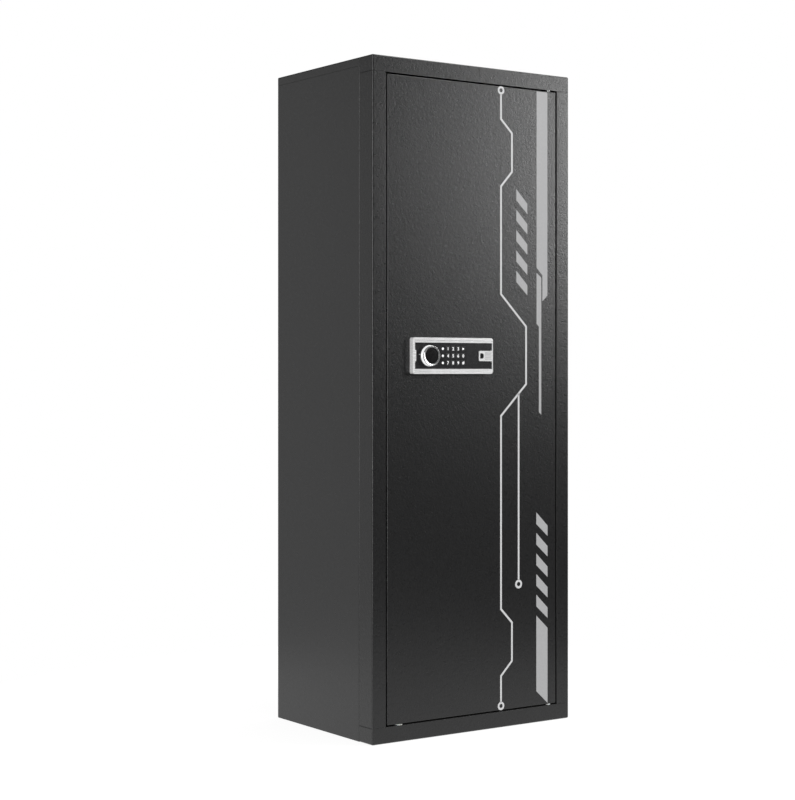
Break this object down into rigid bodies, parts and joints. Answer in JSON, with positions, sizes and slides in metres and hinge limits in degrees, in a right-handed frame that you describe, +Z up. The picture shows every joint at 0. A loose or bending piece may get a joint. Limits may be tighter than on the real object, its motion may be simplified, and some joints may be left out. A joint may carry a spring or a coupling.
{
  "type": "gun safe",
  "caption": "Tall narrow steel long-gun cabinet with a flush hinged door, electronic keypad lock, knob-driven bolts and rods, inner shelf and foam barrel rack.",
  "frame": {"origin": "centre of the cabinet's rectangular footprint on the floor", "axes": "+Z up, the door faces -Y, the hinges are on the +X side and the lock towards -X"},
  "size_m": [0.518, 0.392, 1.4],
  "materials": {
    "shell_coat": "dark charcoal powder coat with a fine sandy texture",
    "zinc_steel": "zinc-plated steel",
    "nylon": "natural nylon",
    "foam_lining": "dark flocked foam",
    "silver_trim": "satin silver",
    "black_face": "smooth black plastic",
    "polished_steel": "polished",
    "battery_plastic": "moulded black plastic",
    "circuit_green": "green solder mask"
  },
  "bodies": {
    "cabinet": {"left_side_panel": "shell_coat", "right_side_panel": "shell_coat", "back_panel": "shell_coat", "top_cap": "shell_coat", "bottom_panel": "shell_coat", "frame_top_rail": "shell_coat", "frame_bottom_rail": "shell_coat", "frame_left_stile": "shell_coat", "frame_right_stile": "shell_coat", "hinge_pin_upper": "zinc_steel", "hinge_pin_lower": "zinc_steel", "hinge_washer_lower": "nylon", "door_glide_pad": "nylon", "door_stop_upper": "shell_coat", "door_stop_lower": "shell_coat", "shelf_bracket_left": "zinc_steel", "shelf_bracket_right": "zinc_steel", "shelf": "shell_coat", "rack_bracket": "shell_coat", "barrel_rack": "foam_lining", "floor_mat": "foam_lining"},
    "door": {"door_skin": "shell_coat", "door_back_panel": "shell_coat", "door_stiffener": "shell_coat", "hinge_bush_upper": "nylon", "rod_guide_upper": "zinc_steel", "rod_guide_lower": "zinc_steel", "lock_bezel": "silver_trim", "lock_face": "black_face", "indicator_lens": "black_face", "key_cylinder": "zinc_steel", "circuit_board": "circuit_green", "knob_base_ring": "polished_steel", "solenoid_coil": "zinc_steel", "battery_box": "battery_plastic"},
    "knob": {"knob_grip": "polished_steel", "knob_cap": "black_face", "spindle_cam": "zinc_steel"},
    "bolt_carriage": {"bolt_carriage": "zinc_steel", "side_bolt_upper": "polished_steel", "side_bolt_lower": "polished_steel"},
    "upper_rod": {"lock_rod_upper": "zinc_steel"},
    "lower_rod": {"lock_rod_lower": "zinc_steel"},
    "plunger": {"solenoid_plunger": "polished_steel"},
    "key_plug": {"key_plug": "zinc_steel"},
    "key_flap": {"key_cover": "silver_trim"},
    "key_1_button": {"key_1": "black_face"},
    "key_2_button": {"key_2": "black_face"},
    "key_3_button": {"key_3": "black_face"},
    "key_start_button": {"key_start": "black_face"},
    "key_4_button": {"key_4": "black_face"},
    "key_5_button": {"key_5": "black_face"},
    "key_6_button": {"key_6": "black_face"},
    "key_0_button": {"key_0": "black_face"},
    "key_7_button": {"key_7": "black_face"},
    "key_8_button": {"key_8": "black_face"},
    "key_9_button": {"key_9": "black_face"},
    "key_hash_button": {"key_hash": "black_face"}
  },
  "joints": [
    {"name": "door_hinge", "type": "hinge", "parent": "cabinet", "child": "door", "pos_m": [0.207, -0.177, 0.7], "axis": [0, 0, 1], "range_deg": [0, 115]},
    {"name": "knob_turn", "type": "hinge", "parent": "door", "child": "knob", "pos_m": [-0.125, -0.207, 0.7895], "axis": [0, -1, 0], "range_deg": [0, 90]},
    {"name": "side_bolt_slide", "type": "slide", "parent": "door", "child": "bolt_carriage", "axis": [-1, 0, 0], "range_m": [0, 0.015]},
    {"name": "upper_rod_slide", "type": "slide", "parent": "door", "child": "upper_rod", "axis": [0, 0, 1], "range_m": [0, 0.015]},
    {"name": "lower_rod_slide", "type": "slide", "parent": "door", "child": "lower_rod", "axis": [0, 0, -1], "range_m": [0, 0.015]},
    {"name": "solenoid_pull", "type": "slide", "parent": "door", "child": "plunger", "axis": [1, 0, 0], "range_m": [0, 0.003], "stiffness_N_per_m": 150},
    {"name": "key_turn", "type": "hinge", "parent": "door", "child": "key_plug", "pos_m": [0.0218, -0.19, 0.7895], "axis": [0, -1, 0], "range_deg": [0, 90]},
    {"name": "key_flap_hinge", "type": "hinge", "parent": "door", "child": "key_flap", "pos_m": [0.0368, -0.1976, 0.7895], "axis": [0, 0, 1], "range_deg": [0, 100]},
    {"name": "key_1_press", "type": "slide", "parent": "door", "child": "key_1_button", "axis": [0, 1, 0], "range_m": [0, 0.001], "stiffness_N_per_m": 400},
    {"name": "key_2_press", "type": "slide", "parent": "door", "child": "key_2_button", "axis": [0, 1, 0], "range_m": [0, 0.001], "stiffness_N_per_m": 400},
    {"name": "key_3_press", "type": "slide", "parent": "door", "child": "key_3_button", "axis": [0, 1, 0], "range_m": [0, 0.001], "stiffness_N_per_m": 400},
    {"name": "key_start_press", "type": "slide", "parent": "door", "child": "key_start_button", "axis": [0, 1, 0], "range_m": [0, 0.001], "stiffness_N_per_m": 400},
    {"name": "key_4_press", "type": "slide", "parent": "door", "child": "key_4_button", "axis": [0, 1, 0], "range_m": [0, 0.001], "stiffness_N_per_m": 400},
    {"name": "key_5_press", "type": "slide", "parent": "door", "child": "key_5_button", "axis": [0, 1, 0], "range_m": [0, 0.001], "stiffness_N_per_m": 400},
    {"name": "key_6_press", "type": "slide", "parent": "door", "child": "key_6_button", "axis": [0, 1, 0], "range_m": [0, 0.001], "stiffness_N_per_m": 400},
    {"name": "key_0_press", "type": "slide", "parent": "door", "child": "key_0_button", "axis": [0, 1, 0], "range_m": [0, 0.001], "stiffness_N_per_m": 400},
    {"name": "key_7_press", "type": "slide", "parent": "door", "child": "key_7_button", "axis": [0, 1, 0], "range_m": [0, 0.001], "stiffness_N_per_m": 400},
    {"name": "key_8_press", "type": "slide", "parent": "door", "child": "key_8_button", "axis": [0, 1, 0], "range_m": [0, 0.001], "stiffness_N_per_m": 400},
    {"name": "key_9_press", "type": "slide", "parent": "door", "child": "key_9_button", "axis": [0, 1, 0], "range_m": [0, 0.001], "stiffness_N_per_m": 400},
    {"name": "key_hash_press", "type": "slide", "parent": "door", "child": "key_hash_button", "axis": [0, 1, 0], "range_m": [0, 0.001], "stiffness_N_per_m": 400}
  ],
  "couplings": [
    {"joint": "knob_turn", "follows": "side_bolt_slide", "rad_per_m": 104.72},
    {"joint": "upper_rod_slide", "follows": "side_bolt_slide", "ratio": 1},
    {"joint": "lower_rod_slide", "follows": "side_bolt_slide", "ratio": 1}
  ]
}
